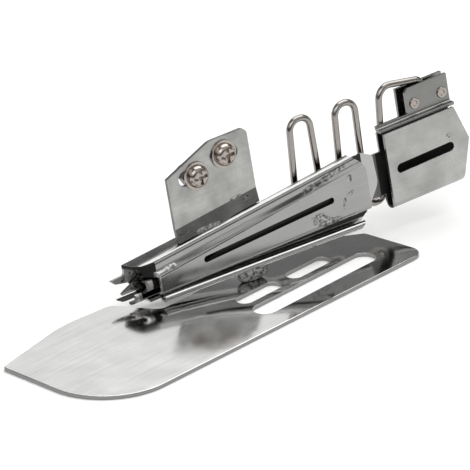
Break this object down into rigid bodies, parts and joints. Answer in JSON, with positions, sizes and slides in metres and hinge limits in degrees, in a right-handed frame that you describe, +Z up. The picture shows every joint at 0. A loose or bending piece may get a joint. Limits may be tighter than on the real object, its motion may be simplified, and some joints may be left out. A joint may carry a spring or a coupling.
{
  "type": "double fold binder",
  "caption": "Sheet-metal bias tape binder: slotted base plate, tapered folding scroll with a nib at its exit, tape sleeve, wire tape guide and an upright slotted bracket with clamp screws.",
  "frame": {"origin": "underside of the base plate, under the middle of its long slot", "axes": "+X along the base plate and its long slot, towards the end where the tape goes in; +Y towards the back, from the long slot to the folder; +Z up, out of the plate"},
  "size_m": [0.1418, 0.0421, 0.0374],
  "materials": {
    "polished_plate": "mirror-polished stainless sheet",
    "polished_sheet": "polished stainless sheet",
    "satin_sheet": "satin stainless sheet",
    "nickel_fastener": "warm nickel plate",
    "steel_wire": "drawn steel wire, half bright",
    "solder": "dull tin solder"
  },
  "bodies": {
    "root": {"base_plate": "polished_plate", "front_shell": "polished_sheet", "back_sheet": "polished_sheet", "fabric_channel": "polished_sheet", "inner_scroll": "polished_sheet", "lower_curl": "polished_sheet", "exit_wing": "polished_sheet", "rear_bracket": "satin_sheet", "first_washer": "nickel_fastener", "first_screw": "nickel_fastener", "first_nut": "nickel_fastener", "second_washer": "nickel_fastener", "second_screw": "nickel_fastener", "second_nut": "nickel_fastener", "tape_sleeve": "satin_sheet", "sleeve_tab": "satin_sheet", "rear_holder": "satin_sheet", "left_rivet": "nickel_fastener", "right_rivet": "nickel_fastener", "wire_guide": "steel_wire", "solder_foot": "solder", "solder_bracket": "solder"}
  },
  "joints": []
}
